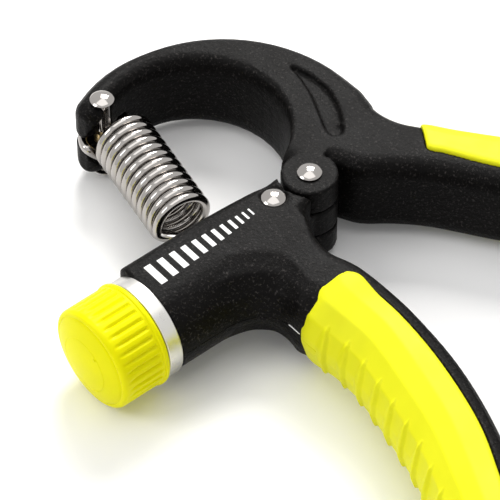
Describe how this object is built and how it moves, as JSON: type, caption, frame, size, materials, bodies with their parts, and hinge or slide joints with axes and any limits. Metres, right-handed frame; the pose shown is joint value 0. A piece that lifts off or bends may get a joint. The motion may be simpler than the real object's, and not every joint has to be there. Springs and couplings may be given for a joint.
{
  "type": "hand grip strengthener",
  "caption": "Hand exerciser with two hinged grip handles, an arched arm, a tension spring and a knob that sets its strength",
  "frame": {"origin": "under the middle of the part's box, as it lies flat", "axes": "+X along the adjuster tube away from the knob, +Y towards the arch, +Z along the pivot rivet, through the thickness"},
  "size_m": [0.165, 0.1836, 0.0282],
  "materials": {
    "black_plastic": "fine matte texture",
    "grip_rubber": "soft satin rubber",
    "knob_plastic": "smooth satin plastic",
    "bright_steel": "bright nickel plate",
    "ring_aluminium": "satin anodised",
    "plain_steel": "turned, plain",
    "brass": "turned",
    "white_plastic": "natural moulded acetal"
  },
  "bodies": {
    "adjuster_body": {"adjuster_arm": "black_plastic", "adjuster_grip": "grip_rubber", "anchor_rivet": "bright_steel", "screw_end_block": "white_plastic", "tube_end_bush": "white_plastic", "collar_ring": "ring_aluminium", "pivot_bush": "brass", "thrust_washer": "brass"},
    "arch_body": {"arch_arm": "black_plastic", "arch_grip": "grip_rubber", "pivot_rivet": "bright_steel", "pivot_washers": "white_plastic", "spring_pin": "bright_steel"},
    "knob_body": {"knob": "knob_plastic", "knob_cap": "knob_plastic", "knob_insert": "brass", "knob_screw": "plain_steel", "adjusting_screw": "plain_steel", "screw_clip": "plain_steel"},
    "slider_body": {"slider_nut": "white_plastic", "slider_pin": "plain_steel"},
    "roller_body": {"spring_roller": "brass"},
    "spring_body": {"tension_spring": "bright_steel"},
    "hook_body": {"spring_lower_hook": "bright_steel"}
  },
  "joints": [
    {"name": "squeeze", "type": "hinge", "parent": "adjuster_body", "child": "arch_body", "pos_m": [-0.0055, 0.0296, 0.0141], "axis": [0, 0, -1], "range_deg": [0, 40], "stiffness_Nm_per_rad": 12, "springref_deg": -8.59},
    {"name": "knob_spin", "type": "hinge", "parent": "adjuster_body", "child": "knob_body", "pos_m": [-0.0725, 0.0246, 0.0141], "axis": [-1, 0, 0], "range_deg": [0, 1440]},
    {"name": "slider_travel", "type": "slide", "parent": "adjuster_body", "child": "slider_body", "axis": [-1, 0, 0], "range_m": [0, 0.01205]},
    {"name": "spring_swing", "type": "hinge", "parent": "arch_body", "child": "roller_body", "pos_m": [-0.02958, 0.0829, 0.0141], "axis": [0, 0, -1], "range_deg": [0, 12.61]},
    {"name": "spring_tilt", "type": "hinge", "parent": "roller_body", "child": "spring_body", "pos_m": [-0.02958, 0.0829, 0.0141], "axis": [0, 0, 1], "range_deg": [0, 6.85]},
    {"name": "spring_stretch", "type": "slide", "parent": "spring_body", "child": "hook_body", "axis": [-0.1255, -0.9921, 0], "range_m": [0, 0.01978], "deforming": ["tension_spring", "spring_lower_hook"]}
  ],
  "couplings": [
    {"joint": "slider_travel", "follows": "knob_spin", "m_per_rad": 0.00047746},
    {"joint": "spring_swing", "follows": "knob_spin", "ratio": 0.0087244},
    {"joint": "spring_tilt", "follows": "squeeze", "ratio": 0.16999},
    {"joint": "spring_stretch", "follows": "squeeze", "m_per_rad": 0.028192}
  ]
}
